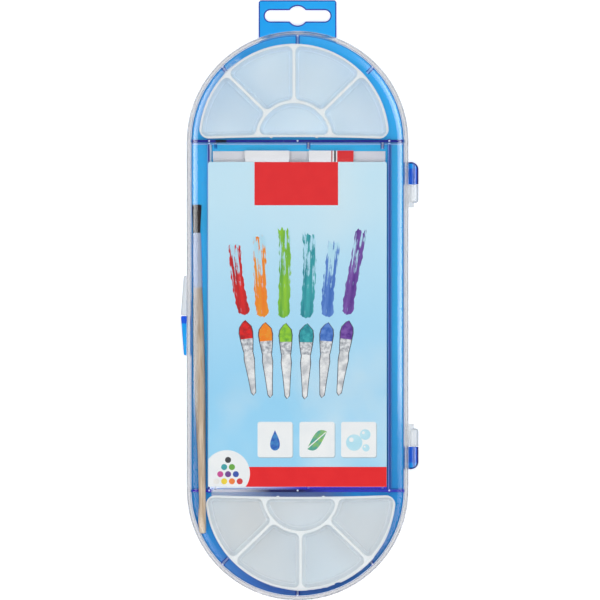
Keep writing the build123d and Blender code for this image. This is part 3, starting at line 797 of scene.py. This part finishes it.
def lay_ink(name, outline, material, layer):
    """One flat area of ink with this outline, in millimetres, as a thin film on the card."""
    bpy.ops.object.select_all(action="DESELECT")
    bpy.ops.mesh.primitive_circle_add(
        vertices=len(outline), radius=1, fill_type="NGON", location=(0, 0, 0)
    )
    piece = bpy.context.object
    piece.name = name
    height = card_top_z + layer * film_step
    for vertex, (at_x, at_y) in zip(piece.data.vertices, outline):
        vertex.co = (at_x * MM, at_y * MM, height)
    bpy.ops.object.mode_set(mode="EDIT")
    bpy.ops.mesh.select_all(action="SELECT")
    bpy.ops.mesh.normals_make_consistent(inside=False)
    bpy.ops.object.mode_set(mode="OBJECT")
    if piece.data.polygons[0].normal.z < 0:
        piece.data.flip_normals()
    make_film(piece, material)


def ring(middle_x, middle_y, radius, count=40):
    """Points round a circle."""
    turns = [2 * pi * step / count for step in range(count)]
    return [(middle_x + radius * cos(turn), middle_y + radius * sin(turn)) for turn in turns]


def rounded(left, bottom, right, top, corner, count=6):
    """Points round a rectangle with round corners."""
    middles = (
        (right - corner, top - corner), (left + corner, top - corner),
        (left + corner, bottom + corner), (right - corner, bottom + corner),
    )
    outline = []
    for index, (at_x, at_y) in enumerate(middles):
        for step in range(count + 1):
            turn = (index + step / count) * pi / 2
            outline.append((at_x + corner * cos(turn), at_y + corner * sin(turn)))
    return outline


print_red = ink_colour("print_red", (0.8, 0.026, 0.03), (0.77, 0.023, 0.028), 0.5)
print_white = ink_colour("print_white", (0.86, 0.88, 0.88), (0.82, 0.85, 0.86))
print_shade = ink_colour("print_shade", (0.42, 0.55, 0.62), (0.36, 0.5, 0.58))
lay_ink("print_panel", rounded(-22.7, 58.1, 21.3, 80.85, 0.15, 2), print_red, 1)

banner_top = -79.6
banner = [
    (card_right, banner_top), (-25.6, banner_top), (-25.9, -82.0), (-25.7, -85.0),
    (-26.6, -88.0), (-27.6, card_foot), (card_right, card_foot),
]
badge_x, badge_y, badge_radius = -37.3, -83.0, 12.2
badge = [
    (max(at_x, card_left), max(at_y, card_foot))
    for at_x, at_y in ring(badge_x, badge_y, badge_radius, 96)
]
lay_ink("print_banner", banner, print_red, 1)
lay_ink("print_badge", badge, print_white, 2)

# Ten dots in the colours of the paints, stacked four, three, two and one
dots_middle_x, dots_foot_y = -36.6, -87.2
dot_pitch, dot_rise, dot_radius = 4.1, 3.75, 1.6
dot_places = [(row, place, 4 - row) for row in range(4) for place in range(4 - row)]
for number, ((row, place, in_row), paint) in enumerate(zip(dot_places, paints), 1):
    dot_x = dots_middle_x + (place - (in_row - 1) / 2) * dot_pitch
    dot_y = dots_foot_y + row * dot_rise
    dot_tone = tuple(0.05 + 0.92 * part for part in paint)
    dot_ink = ink_colour(f"print_dot_ink_{number:02d}", dot_tone)
    lay_ink(f"print_dot_{number:02d}", ring(dot_x, dot_y, dot_radius, 28), dot_ink, 3)

# Three white squares, each with a plain sign: a drop, a leaf and three bubbles
square_foot, square_top = -74.5, -55.9
for number, (left, right) in enumerate(((-21.06, -2.69), (1.0, 19.5), (22.9, 41.4)), 1):
    shade = rounded(left + 0.35, square_foot - 0.45, right + 0.4, square_top - 0.4, 1.3)
    lay_ink(f"print_square_shade_{number}", shade, print_shade, 1)
    square = rounded(left, square_foot, right, square_top, 1.2)
    lay_ink(f"print_square_{number}", square, print_white, 2)
drop_ink = ink_colour("print_drop_ink", (0.03, 0.1, 0.45), (0.08, 0.3, 0.6), grain=300.0)
leaf_ink = ink_colour("print_leaf_ink", (0.1, 0.38, 0.3), (0.3, 0.55, 0.12), grain=420.0)
bubble_ink = ink_colour("print_bubble_ink", (0.45, 0.74, 0.85), (0.55, 0.8, 0.88))
sign_y = -65.6
drop_x, drop_half_width, drop_half_height = -11.9, 3.6, 5.4
drop_points, drop_point_curve = 48, 1.4
drop = []
for step in range(drop_points):
    turn = 2 * pi * step / drop_points
    drop_side = drop_half_width * sin(turn) * sin(turn / 2) ** drop_point_curve
    drop.append((drop_x + drop_side, sign_y + drop_half_height * cos(turn)))
lay_ink("print_drop", drop, drop_ink, 3)
leaf_x, leaf_half_width, leaf_half_height, leaf_bulge = 10.2, 5.2, 4.6, 4.4
leaf_points = 24
leaf = []
for bulge, start, way in ((leaf_bulge, 0, 1), (-leaf_bulge, 1, -1)):
    for step in range(leaf_points):
        share = start + way * step / leaf_points
        leaf.append((
            leaf_x - leaf_half_width + 2 * leaf_half_width * share,
            sign_y - leaf_half_height + 2 * leaf_half_height * share + bulge * sin(pi * share),
        ))
lay_ink("print_leaf", leaf, leaf_ink, 3)
vein = [(4.4, -70.8), (15.0, -61.6), (14.6, -61.3), (4.0, -70.4)]
lay_ink("print_leaf_vein", vein, print_white, 4)
bubbles = ((29.8, -66.8, 4.3), (35.6, -62.6, 2.8), (36.0, -69.6, 1.9))
for number, (at_x, at_y, radius) in enumerate(bubbles, 1):
    lay_ink(f"print_bubble_{number}", ring(at_x, at_y, radius), bubble_ink, 3)
    shine_off, shine_radius = radius * 0.35, radius * 0.28
    shine = ring(at_x - shine_off, at_y + shine_off, shine_radius, 20)
    lay_ink(f"print_bubble_shine_{number}", shine, print_white, 4)

# Strokes and drawn brushes: six strokes of paint above six brushes, spread a little like a
# fan, all printed on the card. Each stroke is full where it starts and dry where it ends, and
# each brush is inked with a dark outline.
sky_tone = (0.45, 0.74, 0.89)
strokes = (
    # column x, foot y, length, width, paint, second tone
    (-28.4, 0.5, 37.0, 6.2, (0.78, 0.02, 0.02), (0.42, 0.015, 0.02)),
    (-17.6, -0.6, 42.0, 6.4, (0.9, 0.21, 0.015), (0.85, 0.32, 0.03)),
    (-6.6, -1.0, 46.5, 6.0, (0.3, 0.62, 0.04), (0.12, 0.4, 0.05)),
    (4.8, -1.2, 44.0, 6.6, (0.05, 0.42, 0.45), (0.02, 0.24, 0.3)),
    (16.0, -0.6, 39.0, 6.2, (0.04, 0.14, 0.5), (0.12, 0.26, 0.66)),
    (27.0, 0.4, 44.5, 5.8, (0.1, 0.03, 0.26), (0.22, 0.1, 0.42)),
)
fan_middle_x = -0.5
fan_turn = radians(0.26)
brush_drop = 3.4
collar_y, grip_y, grip_end_y = -9.4, -16.0, -39.2
outline_width = 0.22
lanes, lane_points = 12, 56
outline_ink = ink_colour("print_outline_ink", (0.05, 0.05, 0.07), (0.12, 0.12, 0.14))


def bend_stroke(stroke, stroke_length, width, column, foot, along, aside):
    """Moves a flat grid's points into a stroke with a wet foot and a ragged dry end."""
    dry = [random.uniform(-0.9, 1.3) for _ in range(lanes + 2)]
    wet = [random.uniform(-0.35, 0.35) for _ in range(lanes + 2)]
    sway = random.uniform(0, 2 * pi)
    for vertex in stroke.data.vertices:
        share_x, share_y = (vertex.co.x + 1) / 2, (vertex.co.y + 1) / 2
        lane = round(share_x * lanes)
        to_edge = abs(2 * share_x - 1)
        wobble = 0.22 * sin(share_y * 31 + lane) + 0.14 * sin(share_y * 67 + 2 * lane)
        off_middle = (share_x - 0.5) * width + wobble * to_edge ** 3
        rise = share_y * stroke_length + 1.6 * to_edge ** 2.4 * (1 - share_y) ** 6
        rise += wet[lane] * (1 - share_y) ** 8
        rise += dry[lane] * share_y**8
        bow = 0.9 * sin(share_y * 3.4 + sway)
        point = along * rise + aside * (off_middle + bow)
        vertex.co = ((column + point.x) * MM, (foot + point.y) * MM, card_top_z + film_step)


def stroke_colour(number, place, tilt, stroke_length, paint, second):
    """Wet paint that breaks up into streaks of sky towards the stroke's dry end."""
    material, tree, shader = start_material(f"print_stroke_ink_{number}", 0.4)
    turned = add_node(
        tree, "ShaderNodeMapping",
        {"Vector": object_point(tree)[0], "Location": place, "Rotation": (0, 0, tilt)},
        vector_type="TEXTURE",
    ).outputs[0]
    up = add_node(tree, "ShaderNodeSeparateXYZ", {0: turned}).outputs["Y"]
    dryness = ramp(tree, up, 6, stroke_length)
    streak = add_noise(tree, turned, 260.0, 3.0, (5.0, 0.22, 1.0))
    broken = add_noise(tree, turned, 420.0, 3.0, (1.6, 0.5, 1.0))
    wander = add_noise(tree, turned, 120.0, 3.0, (2.6, 0.3, 1.0))
    gaps = add_maths(tree, "MULTIPLY_ADD", broken, 0.45, streak)
    gaps = add_maths(tree, "MULTIPLY_ADD", dryness, 0.13 + 0.05 * (number % 3), gaps)
    shown = step_up(tree, gaps, 0.93, 0.87)
    body = blend_colours(tree, step_up(tree, wander, 0.36, 0.64), paint, second)
    tree.links.new(blend_colours(tree, shown, sky_tone, body), shader.inputs["Base Color"])
    add_bump(tree, shader, streak, 0.25, 0.05 * MM)
    return material


def on_fan(points, column, foot, along, aside):
    """Points drawn down from a stroke's foot, turned with the fan."""
    placed = [along * (at_y - brush_drop) + aside * at_x for at_x, at_y in points]
    return [(column + point.x, foot + point.y) for point in placed]


random.seed(11)
for number, (column, foot, stroke_length, width, paint, second) in enumerate(strokes, 1):
    tilt = -(column - fan_middle_x) * fan_turn
    along = Vector((-sin(tilt), cos(tilt)))
    aside = Vector((cos(tilt), sin(tilt)))
    bpy.ops.object.select_all(action="DESELECT")
    bpy.ops.mesh.primitive_grid_add(
        x_subdivisions=lanes, y_subdivisions=lane_points, size=2, location=(0, 0, 0)
    )
    stroke = bpy.context.object
    stroke.name = f"print_stroke_{number}"
    fan_place = (column, foot, along, aside)
    bend_stroke(stroke, stroke_length, width, *fan_place)
    place = (column * MM, foot * MM, 0)
    make_film(stroke, stroke_colour(number, place, tilt, stroke_length, paint, second))

    half = width / 2 + 0.3
    head = [
        (0.3, 0.4), (-0.9, -0.6), (-half + 0.5, -3.2), (-half, -6.0), (-half + 0.3, collar_y),
        (half - 0.3, collar_y), (half, -6.0), (half - 0.4, -3.0),
    ]
    collar = [
        (-half + 0.25, collar_y), (-2.3, grip_y), (2.3, grip_y), (half - 0.25, collar_y),
    ]
    grip = [
        (-2.1, grip_y), (-2.5, -20.5), (-1.7, -29.0), (-1.1, -37.6), (0.0, grip_end_y),
        (1.1, -37.6), (1.7, -29.0), (2.5, -20.5), (2.1, grip_y),
    ]
    for part, shape, tone, other, grain in (
        ("head", head, paint, second, 380.0),
        ("collar", collar, (0.78, 0.8, 0.82), (0.3, 0.32, 0.36), 620.0),
        ("grip", grip, (0.86, 0.87, 0.87), (0.5, 0.52, 0.55), 260.0),
    ):
        middle_y = sum(at_y for at_x, at_y in shape) / len(shape)
        outer = []
        for at_x, at_y in shape:
            outward = outline_width if at_x > 0 else -outline_width
            outer.append((at_x * 1.08 + outward, middle_y + (at_y - middle_y) * 1.03))
        lay_ink(f"print_{part}_line_{number}", on_fan(outer, *fan_place), outline_ink, 1)
        ink = ink_colour(f"print_{part}_ink_{number}", tone, other, grain=grain)
        lay_ink(f"print_{part}_{number}", on_fan(shape, *fan_place), ink, 2)
